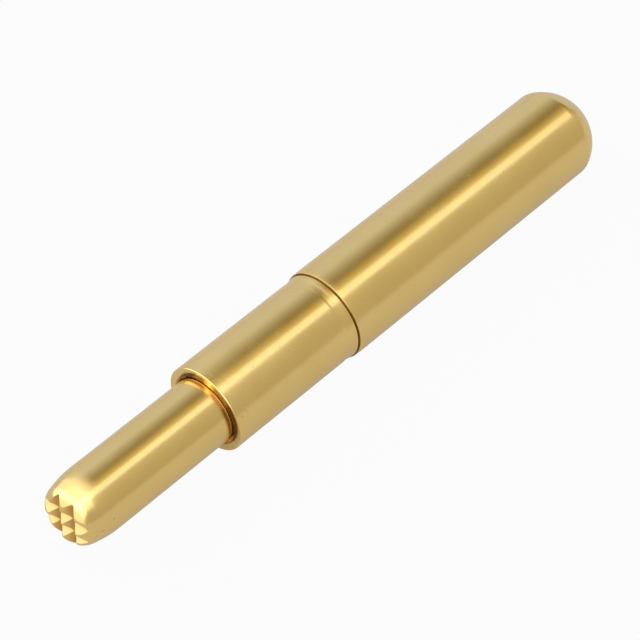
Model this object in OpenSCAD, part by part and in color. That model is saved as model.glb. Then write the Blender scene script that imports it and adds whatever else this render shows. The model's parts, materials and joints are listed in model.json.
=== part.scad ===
// Spring-loaded contact pin: a stepped, domed barrel, a serrated plunger and the spring between them.
// Millimetres. The pin's axis is X, with the plunger's crown towards +X and the origin at the shoulder.

/* [Barrel] */
// Diameter of the rear section, which the housing holds
seat_d = 1.38; // [1.34:0.01:1.6]
// Length from the shoulder to the end of the dome
seat_len = 5.20; // [4.6:0.05:8]
// Height of the domed end, a spherical cap
dome_len = 0.49; // [0.3:0.01:0.66]
// Diameter of the front section
nose_d = 1.31; // [1.27:0.01:1.33]
// Length from the shoulder to the front face
nose_len = 2.39; // [1.8:0.01:4]
// Length over which the shoulder's edge is rounded
shoulder_len = 0.12; // [0.05:0.01:0.2]
// How far the rounding draws in the shoulder's edge, on the radius
shoulder_drop = 0.015; // [0.005:0.005:0.015]
// Length of the cone between the shoulder's edge and the front section
cone_len = 0.13; // [0.05:0.01:0.4]
// Diameter of the blind bore
bore_d = 1.13; // [1.11:0.01:1.16]
// Thickness of the closed end on the axis
end_wall = 0.70; // [0.4:0.05:1.2]
// Length of the lip that is rolled in at the mouth
lip_len = 0.15; // [0.1:0.05:0.4]
// Radius of the lip's outer edge
lip_edge_r = 0.015; // [0.01:0.005:0.05]
// Radius of the lip's inner edge
mouth_edge_r = 0.02; // [0.01:0.01:0.04]

/* [Plunger] */
// Diameter of the shaft
shaft_d = 1.00; // [0.9:0.01:1.02]
// Length of shaft outside the barrel with the plunger out
shaft_out = 2.61; // [2.35:0.01:4]
// Length of the crown, from where it narrows to the points
crown_len = 0.44; // [0.3:0.01:0.6]
// Slope of the crown's cone, in degrees
crown_slope = 12; // [5:1:25]
// Radius between the cone and the end face
crown_edge_r = 0.26; // [0.1:0.01:0.28]
// Length of the guide that runs in the bore
guide_len = 1.50; // [1:0.05:2]
// Slope of the biased tail end, in degrees
bias_angle = 12; // [0:1:20]
// Radius of the small edges
shaft_edge_r = 0.03; // [0.01:0.01:0.05]

/* [Serration] */
// Distance between neighbouring points
tooth_pitch = 0.26; // [0.2:0.01:0.28]
// Number of points in each row
tooth_rows = 3; // [2:1:4]
// Angle between the flanks of a groove
groove_angle = 90; // [70:5:110]

/* [Spring] */
// Diameter of the wire
wire_d = 0.14; // [0.1:0.01:0.16]
// Turns that flex
active_turns = 16; // [8:1:18]
// Turns that are closed up at each end
closed_turns = 1; // [1:1:2]

/* [Fits] */
// Radial clearance of the shaft in the mouth
shaft_clear = 0.025; // [0.01:0.005:0.03]
// Radial clearance of the guide in the bore
guide_clear = 0.015; // [0.01:0.005:0.02]
// Radial clearance of the spring in the bore
spring_clear = 0.07; // [0.04:0.01:0.1]
// Gap at each end of the spring
seat_gap = 0.01; // [0.01:0.01:0.03]
// Gap between closed turns
turn_gap = 0.02; // [0.01:0.01:0.03]

/* [Hidden] */

gold = "#c9a961";
steel = "#b9bcc0";

arc_steps = 8;
dome_steps = 24;
turn_steps = 20;
wire_sides = 8;
round_fn = 96;

seat_r = seat_d / 2;
nose_r = nose_d / 2;
bore_r = bore_d / 2;
shaft_r = shaft_d / 2;
mouth_r = shaft_r + shaft_clear;
guide_r = bore_r - guide_clear;
bore_floor_x = end_wall - seat_len;
lip_back_x = nose_len - lip_len;
guide_back_x = lip_back_x - guide_len;
tip_x = nose_len + shaft_out;
spring_start_x = bore_floor_x + seat_gap;
spring_end_x = guide_back_x - seat_gap;
coil_r = bore_r - spring_clear - wire_d / 2;

// Points of an elliptical quarter or other arc round [r, x], from angle from to angle to
function arc(r, x, half_r, half_x, from, to, steps) =
  [for (i = [0 : steps]) let (a = from + (to - from) * i / steps)
    [r + half_r * cos(a), x + half_x * sin(a)]];

// Turns a profile of [radius, x] points about the X axis
module turned(profile) {
  rotate([0, 90, 0]) rotate_extrude($fn = round_fn) polygon(profile);
}

module barrel() {
  dome_r = (pow(seat_r, 2) + pow(dome_len, 2)) / (2 * dome_len);
  dome_edge_angle = asin((dome_len - dome_r) / dome_r);
  color(gold) turned(concat(
    arc(0, dome_r - seat_len, dome_r, dome_r, -90, dome_edge_angle, dome_steps),
    arc(seat_r - shoulder_drop, 0, shoulder_drop, shoulder_len, 0, 90, arc_steps),
    [[nose_r, shoulder_len + cone_len]],
    arc(nose_r - lip_edge_r, nose_len - lip_edge_r, lip_edge_r, lip_edge_r, 0, 90, arc_steps),
    arc(mouth_r + mouth_edge_r, nose_len - mouth_edge_r, mouth_edge_r, mouth_edge_r, 90, 180, arc_steps),
    [[mouth_r, lip_back_x], [bore_r, lip_back_x], [bore_r, bore_floor_x], [0, bore_floor_x]]
  ));
}

// A V-shaped cutter along Z, with its edge on the X axis at x = 0 and its mouth towards +X
module groove() {
  reach = shaft_d;
  half_width = reach * tan(groove_angle / 2);
  translate([0, 0, -reach]) linear_extrude(height = 2 * reach)
    polygon([[0, 0], [reach, half_width], [reach, -half_width]]);
}

// Grooves side by side, which leave tooth_rows ridges on the crown
module grooves() {
  depth = tooth_pitch / 2 / tan(groove_angle / 2);
  for (i = [1 : tooth_rows - 1])
    translate([tip_x - depth, (i - tooth_rows / 2) * tooth_pitch, 0]) groove();
}

// The wedge that slants the tail, from its full length at the bottom to a shorter one at the top
module bias_cut() {
  size = 2 * bore_d;
  translate([guide_back_x, 0, -guide_r]) rotate([0, bias_angle, 0])
    translate([-size, -size / 2, -size]) cube([size, size, 3 * size]);
}

module plunger() {
  crown_start_x = tip_x - crown_len;
  crown_edge_x = tip_x - crown_edge_r;
  face_r = shaft_r - (crown_edge_x - crown_start_x) * tan(crown_slope) - crown_edge_r / cos(crown_slope);
  color(gold) difference() {
    turned(concat(
      [[0, guide_back_x], [guide_r, guide_back_x]],
      arc(guide_r - shaft_edge_r, lip_back_x - shaft_edge_r, shaft_edge_r, shaft_edge_r, 0, 90, arc_steps),
      [[shaft_r, lip_back_x], [shaft_r, crown_start_x]],
      arc(face_r, crown_edge_x, crown_edge_r, crown_edge_r, crown_slope, 90, 2 * arc_steps),
      [[0, tip_x]]
    ));
    grooves();
    rotate([90, 0, 0]) grooves();
    bias_cut();
  }
}

// How far along the axis the wire has come after a number of turns
closed_pitch = wire_d + turn_gap;
all_turns = active_turns + 2 * closed_turns;
open_len = spring_end_x - spring_start_x - wire_d - 2 * closed_turns * closed_pitch;
function wire_x(turns) = spring_start_x + wire_d / 2
  + closed_pitch * (min(turns, closed_turns) + max(0, turns - all_turns + closed_turns))
  + open_len / active_turns * min(max(turns - closed_turns, 0), active_turns);

module spring() {
  rings = all_turns * turn_steps;
  points = [for (i = [0 : rings], k = [0 : wire_sides - 1])
    let (turn = 360 * i / turn_steps, side = 360 * k / wire_sides,
         r = coil_r + wire_d / 2 * cos(side))
      [wire_x(i / turn_steps) + wire_d / 2 * sin(side), r * cos(turn), r * sin(turn)]];
  sides = [for (i = [0 : rings - 1], k = [0 : wire_sides - 1])
    let (a = i * wire_sides, b = a + wire_sides, n = (k + 1) % wire_sides)
      [a + k, b + k, b + n, a + n]];
  first = [for (k = [0 : wire_sides - 1]) k];
  last = [for (k = [wire_sides - 1 : -1 : 0]) rings * wire_sides + k];
  color(steel) polyhedron(points, concat([first, last], sides), convexity = 10);
}

barrel();
plunger();
spring();
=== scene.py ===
import json
import math

import bmesh
import bpy
from mathutils import Matrix, Vector


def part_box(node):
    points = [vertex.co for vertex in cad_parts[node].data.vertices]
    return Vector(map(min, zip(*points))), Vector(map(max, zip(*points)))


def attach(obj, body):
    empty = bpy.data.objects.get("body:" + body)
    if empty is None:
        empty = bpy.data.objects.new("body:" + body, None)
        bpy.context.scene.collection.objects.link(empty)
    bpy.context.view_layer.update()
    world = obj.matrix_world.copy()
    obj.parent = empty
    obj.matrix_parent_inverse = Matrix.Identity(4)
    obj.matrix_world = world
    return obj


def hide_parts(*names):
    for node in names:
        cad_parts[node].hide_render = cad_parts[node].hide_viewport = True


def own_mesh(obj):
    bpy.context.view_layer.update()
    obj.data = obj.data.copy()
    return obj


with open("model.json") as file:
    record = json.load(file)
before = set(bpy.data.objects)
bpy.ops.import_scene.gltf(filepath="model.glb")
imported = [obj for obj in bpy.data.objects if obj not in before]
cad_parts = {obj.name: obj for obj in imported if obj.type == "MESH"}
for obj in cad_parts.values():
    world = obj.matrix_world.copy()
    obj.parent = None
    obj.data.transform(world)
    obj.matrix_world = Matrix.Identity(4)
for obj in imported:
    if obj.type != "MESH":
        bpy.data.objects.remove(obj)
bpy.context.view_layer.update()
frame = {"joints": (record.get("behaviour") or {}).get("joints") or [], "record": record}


# ---- Barrel --------------------------------------------------------------------------------
# One sleeve turned from brass bar, drilled blind from the front and plated with gold over nickel.
# Its lip is rolled in once the spring and the plunger are inside, and that keeps them there.

MM = 0.001
barrel_box = [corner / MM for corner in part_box("barrel")]
mounts = {mount["name"]: mount["dims"] for mount in frame["record"]["mounts"]}
dome_end_x = barrel_box[0].x
lip_x = barrel_box[1].x
seat_r = mounts["barrel_seat"]["r_mm"]
nose_r = mounts["barrel_nose"]["r_mm"]
dome_len = 0.49
line_x = 0.110
line_edge_r = 0.684
line_width = 0.030
line_floor_r = 0.660
line_front_r = 0.668
cone_end_x = 0.218
cone_end_r = 0.6555
relief_x = 0.285
relief_r = 0.6475
relief_end_x = 0.326
end_wall = 0.70
lip_len = 0.15
bore_r = 0.565
bore_floor_x = dome_end_x + end_wall
mouth_r = 0.525
lip_back_x = lip_x - lip_len
dome_softness = 0.08
line_edge_softness = 0.004
foot_softness = 0.006
cone_softness = 0.008
lip_edge_r = 0.015
mouth_edge_r = 0.02
BARREL_FACES = 180
MERGE_DISTANCE = 1e-5


def draw(outline, start, *corners):
    """Draws straight lines from a vertex through (x, radius) corners, and returns the last vertex."""
    end = start
    for x, radius in corners:
        end = bmesh.ops.extrude_vert_indiv(outline, verts=[end])["verts"][0]
        end.co = (x, 0, radius)
    return end


def sweep(outline, start, centre_x, centre_r, angle, steps):
    """Goes on from a vertex along an arc round (centre_x, centre_r), and returns the last vertex."""
    arc = bmesh.ops.spin(
        outline, geom=[start], cent=(centre_x, 0, centre_r), axis=(0, 1, 0), angle=angle, steps=steps
    )
    return next(part for part in arc["geom_last"] if isinstance(part, bmesh.types.BMVert))


def turn(outline, faces):
    """Turns the outline once round the X axis, as the lathe does, and closes its seam and its poles."""
    bmesh.ops.spin(
        outline, geom=outline.verts[:] + outline.edges[:], cent=(0, 0, 0), axis=(1, 0, 0),
        angle=math.tau, steps=faces, use_merge=True,
    )
    bmesh.ops.remove_doubles(outline, verts=outline.verts, dist=MERGE_DISTANCE)
    bmesh.ops.recalc_face_normals(outline, faces=outline.faces)


def round_off(turned, x, radius, by, segments=5):
    """Rounds the edge that the outline's corner at (x, radius) has become."""
    near = 10 * MERGE_DISTANCE

    def on_it(vertex):
        return abs(vertex.co.x - x) < near and abs(vertex.co.yz.length - radius) < near

    bmesh.ops.bevel(
        turned, geom=[edge for edge in turned.edges if on_it(edge.verts[0]) and on_it(edge.verts[1])],
        offset=by, offset_type="OFFSET", affect="EDGES", segments=segments, profile=0.5, material=-1,
        clamp_overlap=True,
    )


def note_painted_shade(form, amount):
    """Writes on each vertex how much painted brown shade it gets, from 0 to 1, for the material to read.
    """
    layer = form.verts.layers.float.new("tarnish")
    for vertex in form.verts:
        vertex[layer] = amount(vertex.co)


SHARP_ANGLE = math.radians(35)


def finished(name, form, material):
    """Makes the form a smooth-shaded object, in metres, that keeps its sharp corners."""
    for edge in form.edges:
        edge.smooth = edge.calc_face_angle(0) < SHARP_ANGLE
    bmesh.ops.scale(form, vec=(MM, MM, MM), verts=form.verts)
    mesh = bpy.data.meshes.new(name)
    form.to_mesh(mesh)
    form.free()
    mesh.polygons.foreach_set("use_smooth", [True] * len(mesh.polygons))
    mesh.materials.append(material)
    piece = bpy.data.objects.new(name, mesh)
    bpy.context.scene.collection.objects.link(piece)
    piece.modifiers.new("even_shading", "WEIGHTED_NORMAL").keep_sharp = True
    return piece


class Socket:
    """A node's output. Sums and products of sockets and numbers add Math nodes."""

    def __init__(self, paint, output):
        self.paint = paint
        self.output = output

    def out(self, name):
        return Socket(self.paint, self.output.node.outputs[name])

    def math(self, operation, *values):
        return self.paint.add("ShaderNodeMath", {"operation": operation}, dict(enumerate(values)))

    def __add__(self, other):
        return self.math("ADD", self, other)

    def __sub__(self, other):
        return self.math("SUBTRACT", self, other)

    def __mul__(self, other):
        return self.math("MULTIPLY", self, other)

    def __rsub__(self, other):
        return self.math("SUBTRACT", other, self)

    def __truediv__(self, other):
        return self.math("DIVIDE", self, other)

    __radd__ = __add__
    __rmul__ = __mul__


class Paint:
    """The nodes of a material or a world. add() makes a node of any type and returns its first output."""

    def __init__(self, owner, shader):
        owner.use_nodes = True
        self.owner = owner
        self.tree = owner.node_tree
        self.shader = self.tree.nodes[shader]

    def add(self, kind, settings=None, inputs=None):
        node = self.tree.nodes.new(kind)
        for name, value in (settings or {}).items():
            if name == "stops":
                while len(node.color_ramp.elements) < len(value):
                    node.color_ramp.elements.new(0.5)
                for element, (position, colour) in zip(node.color_ramp.elements, value):
                    element.position = position
                    element.color = colour
            else:
                setattr(node, name, value)
        self.set(node, inputs or {})
        return Socket(self, node.outputs[0])

    def set(self, node, inputs):
        for name, value in inputs.items():
            if isinstance(value, Socket):
                self.tree.links.new(value.output, node.inputs[name])
            else:
                node.inputs[name].default_value = value

    def blend(self, factor, a, b):
        """A colour that goes from a to b."""
        mixed = self.add("ShaderNodeMix", {"data_type": "RGBA"}, {"Factor": factor, "A": a, "B": b})
        return mixed.out("Result")

    def fade(self, value, start, end):
        """0 up to start and 1 from end on, with a soft change between them."""
        return self.add(
            "ShaderNodeMapRange", {"interpolation_type": "SMOOTHSTEP"},
            {"Value": value, "From Min": start, "From Max": end},
        )


DEEP_GOLD = (0.93, 0.64, 0.20, 1)
PALE_GOLD = (1.0, 0.72, 0.26, 1)
DULL_GOLD = (0.55, 0.35, 0.10, 1)
# The two browns below are painted shade for the grooves and the barrel's mouth, not the gold's own colour.
HALF_SHADE_BROWN = (0.62, 0.28, 0.03, 1)
DEEP_SHADE_BROWN = (0.12, 0.06, 0.01, 1)


def gold_plating():
    """Satin gold with fine tool rings, a tone that wanders a little, dull specks and painted brown shade.
    """
    gold = Paint(bpy.data.materials.new("gold_plating"), "Principled BSDF")
    place = gold.add("ShaderNodeTexCoord").out("Object")
    along = gold.add("ShaderNodeMapping", inputs={"Vector": place, "Scale": (52000, 1500, 1500)})
    rings = gold.add("ShaderNodeTexNoise", inputs={"Vector": along, "Scale": 1, "Detail": 3})
    clouds = gold.add("ShaderNodeTexNoise", inputs={"Vector": place, "Scale": 1500, "Detail": 3})
    grain = gold.add("ShaderNodeTexNoise", inputs={"Vector": place, "Scale": 16000, "Detail": 3})
    specks = gold.fade(grain, 0.66, 0.74) * gold.fade(clouds, 0.45, 0.6)
    shade_amount = gold.add("ShaderNodeAttribute", {"attribute_name": "tarnish"}).out("Fac")
    colour = gold.blend(specks * 0.5, gold.blend(clouds, DEEP_GOLD, PALE_GOLD), DULL_GOLD)
    # Painted shade: the vertex attribute darkens the gold to orange-brown, then to dark brown.
    colour = gold.blend(gold.fade(shade_amount, 0, 0.5), colour, HALF_SHADE_BROWN)
    colour = gold.blend(gold.fade(shade_amount, 0.5, 1), colour, DEEP_SHADE_BROWN)
    bump = gold.add("ShaderNodeBump", inputs={
        "Height": rings * 0.5 + grain * 0.5, "Strength": 0.3, "Distance": 0.0000015,
    })
    gold.set(gold.shader, {
        "Base Color": colour, "Metallic": 1, "Roughness": 0.17 + 0.10 * clouds + 0.2 * specks,
        "Normal": bump,
    })
    return gold.owner


GOLD = gold_plating()

sleeve = bmesh.new()
dome_r = (seat_r ** 2 + dome_len ** 2) / (2 * dome_len)
dome_start_x = dome_end_x + dome_len
dome_steps = 28
dome_edge = sweep(
    sleeve, sleeve.verts.new((dome_end_x, 0, 0)), dome_end_x + dome_r, 0, math.asin(seat_r / dome_r),
    dome_steps,
)
line_end_x = line_x + line_width
draw(
    sleeve, dome_edge, (0, seat_r), (line_x, line_edge_r), (line_x + line_width / 2, line_floor_r),
    (line_end_x, line_front_r), (cone_end_x, cone_end_r), (relief_x, relief_r), (relief_end_x, nose_r),
    (lip_x, nose_r), (lip_x, mouth_r), (lip_back_x, mouth_r), (lip_back_x, bore_r), (bore_floor_x, bore_r),
    (bore_floor_x, 0),
)
lip_face = [edge for edge in sleeve.edges if all(abs(end.co.x - lip_x) < 1e-6 for end in edge.verts)]
bmesh.ops.subdivide_edges(sleeve, edges=lip_face, cuts=8)
turn(sleeve, BARREL_FACES)
round_off(sleeve, dome_start_x, seat_r, dome_softness)
round_off(sleeve, line_x, line_edge_r, line_edge_softness, 3)
round_off(sleeve, line_end_x, line_front_r, foot_softness, 3)
round_off(sleeve, cone_end_x, cone_end_r, cone_softness, 3)
round_off(sleeve, relief_x, relief_r, foot_softness, 2)
round_off(sleeve, relief_end_x, nose_r, foot_softness, 2)
round_off(sleeve, lip_x, nose_r, lip_edge_r)
round_off(sleeve, lip_x, mouth_r, mouth_edge_r)

# Painted shade in the groove line and on the mouth's face, with a painted gap in it where the gold's
# highlight shows.
line_shade = 0.85
mouth_shade = 0.97
highlight_gap_shade = 0.10
highlight_gap_turn = 9
highlight_gap_width = 7
spread_turn = 31
spread_r = 0.545
spread_more = 0.10
spread_edge = 0.03


def sleeve_painted_shade(place):
    """Painted shade sits in the line and round the mouth, where it spreads further on one side, and a gap
    in it at one place lets a highlight show.
    """
    if line_x - 0.001 < place.x < line_end_x - 0.004:
        return line_shade
    if place.x < lip_x - 0.001:
        return 0
    around = math.degrees(math.atan2(place.y, place.z))
    # The painted shade reaches further out on one side, and fades away in one narrow place so that a
    # highlight shows there.
    spread_to = spread_r + spread_more * max(math.cos(math.radians(around - spread_turn)), 0)
    highlight_gap = math.exp(-((around - highlight_gap_turn) / highlight_gap_width) ** 2)
    shade_amount = mouth_shade + (highlight_gap_shade - mouth_shade) * highlight_gap
    return shade_amount * min(max((spread_to - place.yz.length) / spread_edge + 0.5, 0), 1)


# Lays the painted shade on the sleeve as a vertex attribute.
note_painted_shade(sleeve, sleeve_painted_shade)
barrel = finished("barrel_sleeve", sleeve, GOLD)
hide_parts("barrel")
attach(barrel, "barrel")


# ---- Spring --------------------------------------------------------------------------------
# A compression spring coiled from round stainless wire, with one turn closed up at each end.
# It is loose in the bore, between the bore's floor and the slanted tail of the plunger.

spring_box = [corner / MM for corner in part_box("spring")]
wire_r = 0.07
coil_r = spring_box[1].z - wire_r
spring_start_x = spring_box[0].x + wire_r
spring_end_x = spring_box[1].x - wire_r
closed_turn_gap = 0.02
closed_pitch = 2 * wire_r + closed_turn_gap
active_turns = 16
WIRE_FACES = 12
TURN_FACES = 40


DARK_STEEL = (0.50, 0.50, 0.51, 1)
PALE_STEEL = (0.64, 0.64, 0.65, 1)


def spring_steel():
    """Drawn stainless wire: a bright grey with faint streaks from the die."""
    steel = Paint(bpy.data.materials.new("spring_steel"), "Principled BSDF")
    place = steel.add("ShaderNodeTexCoord").out("Object")
    streaks = steel.add("ShaderNodeTexNoise", inputs={"Vector": place, "Scale": 9000, "Detail": 4})
    bump = steel.add("ShaderNodeBump", inputs={"Height": streaks, "Strength": 0.2, "Distance": 0.000002})
    steel.set(steel.shader, {
        "Base Color": steel.blend(streaks, DARK_STEEL, PALE_STEEL),
        "Metallic": 1, "Roughness": 0.22 + 0.12 * streaks, "Normal": bump,
    })
    return steel.owner


def wind(wire, section, turns, pitch):
    """Winds the wire's end section on round the X axis, and returns the section at the new end."""
    wound = bmesh.ops.spin(
        wire, geom=section, cent=(0, 0, 0), axis=(1, 0, 0), dvec=(pitch / TURN_FACES, 0, 0),
        angle=math.tau * turns, steps=turns * TURN_FACES,
    )
    return wound["geom_last"]


wire = bmesh.new()
circle = bmesh.ops.create_circle(wire, segments=WIRE_FACES, radius=wire_r)["verts"]
upright = Matrix.Rotation(math.pi / 2, 4, "X")
bmesh.ops.transform(wire, verts=circle, matrix=Matrix.Translation((spring_start_x, 0, coil_r)) @ upright)
section = wire.verts[:] + wire.edges[:]
open_pitch = (spring_end_x - spring_start_x - 2 * closed_pitch) / active_turns
for turns, pitch in ((1, closed_pitch), (active_turns, open_pitch), (1, closed_pitch)):
    section = wind(wire, section, turns, pitch)
bmesh.ops.remove_doubles(wire, verts=wire.verts, dist=MERGE_DISTANCE)
bmesh.ops.holes_fill(wire, edges=[edge for edge in wire.edges if edge.is_boundary])
bmesh.ops.recalc_face_normals(wire, faces=wire.faces)
spring = finished("coil_spring", wire, spring_steel())
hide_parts("spring")
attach(spring, "spring")
travel = next(joint for joint in frame["joints"] if joint["name"] == "plunger_travel")["range_m"][1]
spring_len = (spring_box[1].x - spring_box[0].x) * MM
1 - travel / spring_len
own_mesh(spring)


# ---- Plunger -------------------------------------------------------------------------------
# One rod turned from hard brass and plated as the barrel is. Two cutters crossed at right angles
# have milled nine points into its rounded end, and its slanted tail pushes it against the bore.

plunger_box = [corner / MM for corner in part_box("plunger")]
guide_back_x = plunger_box[0].x
tip_x = plunger_box[1].x
guide_r = 0.55
guide_edge_r = 0.03
shaft_r = 0.50
crown_len = 0.44
crown_slope = math.radians(12)
crown_edge_r = 0.26
tooth_pitch = 0.26
tooth_softness = 0.016
groove_floor_r = 0.008
# How dark the painted shade in the crown's grooves gets.
groove_shade = 0.42
crown_softness = 0.13
bias_angle = math.radians(12)
PLUNGER_FACES = 240
GRAIN = 0.0075

crown_start_x = tip_x - crown_len
crown_edge_x = tip_x - crown_edge_r
cone_drop = (crown_edge_x - crown_start_x) * math.tan(crown_slope)
face_r = shaft_r - cone_drop - crown_edge_r / math.cos(crown_slope)
groove_depth = tooth_pitch / 2
groove_floor_x = tip_x - groove_depth


def softer_of(a, b):
    """The smaller of two numbers, with the corner where they cross rounded."""
    near = max(tooth_softness - abs(a - b), 0) / tooth_softness
    return min(a, b) - near ** 2 * tooth_softness / 4


def cut(across):
    """How far forward the metal still reaches at one place across the two grooves of one cutter."""
    one_flank = math.hypot(across + tooth_pitch / 2, groove_floor_r)
    other_flank = math.hypot(across - tooth_pitch / 2, groove_floor_r)
    return groove_floor_x + softer_of(one_flank, other_flank)


def crown_reach(place):
    """How far forward the metal reaches here once both cutters have passed."""
    return softer_of(softer_of(place.x, cut(place.y)), cut(place.z))


def crown_painted_shade(place):
    """Painted shade darkens the grooves, more towards their floor, and in those of the level cutter only
    near the floor.
    """
    reach = crown_reach(place)
    if place.x - reach <= tooth_softness / 2:
        return 0
    depth = min((tip_x - reach) / groove_depth, 1)
    return groove_shade * (depth if cut(place.y) < cut(place.z) else depth ** 4)


rod = bmesh.new()
face_edge = draw(rod, rod.verts.new((tip_x, 0, 0)), (tip_x, face_r))
face_line = face_edge.link_edges[0]
rim_angle = math.pi / 2 - crown_slope
rim_steps = round(rim_angle * crown_edge_r / GRAIN)
crown_side = sweep(rod, face_edge, crown_edge_x, face_r, -rim_angle, rim_steps)
draw(
    rod, crown_side, (crown_start_x, shaft_r), (lip_back_x, shaft_r), (lip_back_x, guide_r),
    (guide_back_x, guide_r), (guide_back_x, 0),
)
bmesh.ops.subdivide_edges(rod, edges=[face_line], cuts=round(face_r / GRAIN))
turn(rod, PLUNGER_FACES)
round_off(rod, crown_start_x, shaft_r, crown_softness, 10)
round_off(rod, lip_back_x, guide_r, guide_edge_r, 4)
# Lays painted shade in the crown's grooves as a vertex attribute.
note_painted_shade(rod, crown_painted_shade)
for vertex in rod.verts:
    if vertex.co.x > groove_floor_x - tooth_softness:
        vertex.co.x = crown_reach(vertex.co)
bmesh.ops.bisect_plane(
    rod, geom=rod.verts[:] + rod.edges[:] + rod.faces[:], plane_co=(guide_back_x, 0, -guide_r),
    plane_no=(math.cos(bias_angle), 0, -math.sin(bias_angle)), clear_inner=True,
)
bmesh.ops.holes_fill(rod, edges=[edge for edge in rod.edges if edge.is_boundary])
bmesh.ops.recalc_face_normals(rod, faces=rod.faces)

plunger = finished("serrated_plunger", rod, GOLD)
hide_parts("plunger")
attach(plunger, "plunger")


# ---- Studio --------------------------------------------------------------------------------
# The pin lies on a white sweep under a long strip light, in a grey room whose tone changes round the
# pin's axis. A white card with a brighter band across it stands in front and overhead, and the camera
# looks down on the pin from before its tip.

CAMERA_DIR = Vector((0.4848, 0.4555, 0.7466))
CAMERA_DISTANCE = 0.0377
CAMERA_SHIFT = Vector((-0.1238, -0.1170, 0)) * MM
strip_angle = math.radians(18.5)
strip_distance = 0.2
strip_width = 0.062
strip_len = 0.43
strip_forward = 0.035
strip_radiance = 0.72

camera_data = bpy.data.cameras.new("camera")
camera_data.lens = 155.87
camera_data.sensor_width = 36
camera_data.clip_start = 0.001
camera = bpy.data.objects.new("camera", camera_data)
bpy.context.scene.collection.objects.link(camera)
bpy.context.scene.camera = camera
camera.rotation_mode = "QUATERNION"
camera.rotation_quaternion = (-CAMERA_DIR).to_track_quat("-Z", "Y")
camera.location = CAMERA_DIR * CAMERA_DISTANCE + camera.rotation_quaternion @ CAMERA_SHIFT

# The room's tones by the angle round the pin's axis, in degrees from overhead towards +Y
ROOM_TONES = (
    (-120, (0.58, 0.62, 0.80)), (-52, (0.62, 0.69, 0.95)), (-46, (0.57, 0.61, 0.80)),
    (-40, (0.50, 0.53, 0.63)), (-33, (0.42, 0.43, 0.48)), (-27, (0.35, 0.35, 0.36)),
    (-20, (0.28, 0.27, 0.22)), (-14, (0.23, 0.19, 0.12)), (-7, (0.34, 0.29, 0.14)),
    (-1, (0.48, 0.42, 0.22)), (6, (0.60, 0.53, 0.30)), (26, (0.61, 0.63, 0.78)),
    (36, (0.58, 0.57, 0.55)), (58, (0.52, 0.51, 0.49)), (83, (0.49, 0.47, 0.44)),
    (110, (0.50, 0.50, 0.52)),
)
CARD = (1.25, 1.28, 1.5, 1)
WINDOW = (2.4, 2.4, 2.6, 1)
WHITE = (1, 1, 1, 1)

room = Paint(bpy.data.worlds.new("room"), "Background")
bpy.context.scene.world = room.owner
towards = room.add("ShaderNodeTexCoord").out("Generated")
axes = room.add("ShaderNodeSeparateXYZ", inputs={"Vector": towards})
x, y, z = axes.out("X"), axes.out("Y"), axes.out("Z")
tone = room.add(
    "ShaderNodeValToRGB", {"stops": [((angle + 180) / 360, (*colour, 1)) for angle, colour in ROOM_TONES]},
    {"Fac": y.math("ARCTAN2", y, z) / math.tau + 0.5},
)
sideways_reach = (y + 0.3).math("MAXIMUM", y + 0.3, 0)
card = room.fade(x - 0.24 * sideways_reach * sideways_reach, -0.27, -0.15) * room.fade(y, 0.84, 0.72)
window = card * room.fade(x, -0.05, 0.11) * room.fade(x, 0.64, 0.50)
shaded = room.blend(window, room.blend(card, tone, CARD), WINDOW)
seen = room.add("ShaderNodeLightPath").out("Is Camera Ray")
room.set(room.shader, {"Color": room.blend(seen, shaded, WHITE)})

sheet_half = 400
sheet = bmesh.new()
bmesh.ops.create_grid(sheet, x_segments=1, y_segments=1, size=sheet_half)
bmesh.ops.translate(sheet, vec=(0, 0, -seat_r), verts=sheet.verts)
paper = Paint(bpy.data.materials.new("white_sweep"), "Principled BSDF")
paper.set(paper.shader, {"Base Color": (0.35, 0.355, 0.38, 1), "Roughness": 1, "Specular IOR Level": 0})
ray = paper.add("ShaderNodeLightPath")
glow = paper.add("ShaderNodeEmission", inputs={"Color": WHITE, "Strength": 1})
paper.set(paper.tree.nodes["Material Output"], {"Surface": paper.add("ShaderNodeMixShader", inputs={
    0: 0.95 * ray.out("Is Camera Ray") + 0.26 * ray.out("Is Glossy Ray"),
    1: Socket(paper, paper.shader.outputs[0]), 2: glow,
})})
finished("floor", sheet, paper.owner)

strip = bpy.data.lights.new("overhead_strip", "AREA")
strip.shape = "RECTANGLE"
strip.size = strip_len
strip.size_y = strip_width
strip.energy = strip_radiance * math.pi * strip_len * strip_width
strip.color = (0.95, 1.0, 1.2)
overhead_strip = bpy.data.objects.new("overhead_strip", strip)
turned = Matrix.Rotation(-strip_angle, 4, "X")
overhead_strip.matrix_world = turned @ Matrix.Translation((strip_forward, 0, strip_distance))
bpy.context.scene.collection.objects.link(overhead_strip)

bpy.context.scene.view_settings.view_transform = "Standard"
